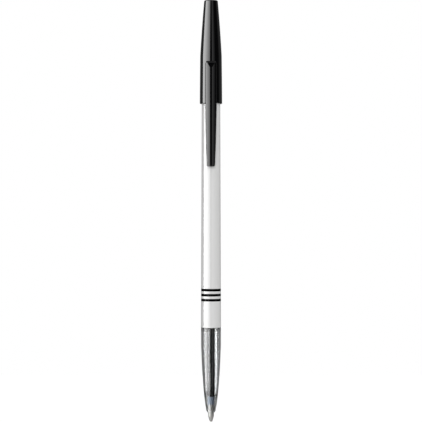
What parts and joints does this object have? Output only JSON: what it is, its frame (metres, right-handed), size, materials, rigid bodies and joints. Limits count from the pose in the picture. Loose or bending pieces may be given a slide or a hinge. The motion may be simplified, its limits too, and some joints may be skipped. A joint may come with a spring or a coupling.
{
  "type": "capped stick ballpoint pen",
  "caption": "Stick ballpoint pen with a glossy black clip cap posted on its rear end, a white barrel with black rings, a clear tapered nose and a black-ink refill.",
  "frame": {"origin": "in the middle of the flat under the clip's bead, where the clip grips a pocket's edge", "axes": "+Z along the pen from its point to the cap's closed end, -Y out through the clip, +X to the right as seen from the clip's side"},
  "size_m": [0.0086, 0.0095, 0.1644],
  "materials": {
    "cap_black": "glossy moulded plastic",
    "plug_black": "moulded plastic",
    "barrel_white": "glossy opaque plastic with three printed black rings",
    "nose_clear": "polished clear plastic",
    "tube_clear": "translucent drawn tube",
    "ink_black": "black ink paste",
    "grease": "clear yellowish grease",
    "holder_blue_grey": "satin moulded plastic",
    "point_metal": "turned nickel silver",
    "ball_metal": "ground carbide"
  },
  "bodies": {
    "cap": {"cap_shell": "cap_black"},
    "clip": {"pocket_clip": "cap_black"},
    "barrel": {"white_barrel": "barrel_white", "end_plug": "plug_black"},
    "nose": {"clear_nose": "nose_clear", "refill_tube": "tube_clear", "ink_column": "ink_black", "grease_follower": "grease", "tip_holder": "holder_blue_grey", "point_body": "point_metal"},
    "ball": {"writing_ball": "ball_metal"}
  },
  "joints": [
    {"name": "cap_pull", "type": "slide", "parent": "cap", "child": "barrel", "axis": [0, 0, -1], "range_m": [0, 0.06]},
    {"name": "clip_flex", "type": "hinge", "parent": "cap", "child": "clip", "pos_m": [0, -0.00051, 0.03775], "axis": [-1, 0, 0], "range_deg": [0, 4.5], "stiffness_Nm_per_rad": 0.5},
    {"name": "nose_pull", "type": "slide", "parent": "barrel", "child": "nose", "axis": [0, 0, -1], "range_m": [0, 0.1]},
    {"name": "ball_roll", "type": "hinge", "parent": "nose", "child": "ball", "pos_m": [0, 0.00379, -0.10131], "axis": [1, 0, 0], "continuous": true}
  ]
}
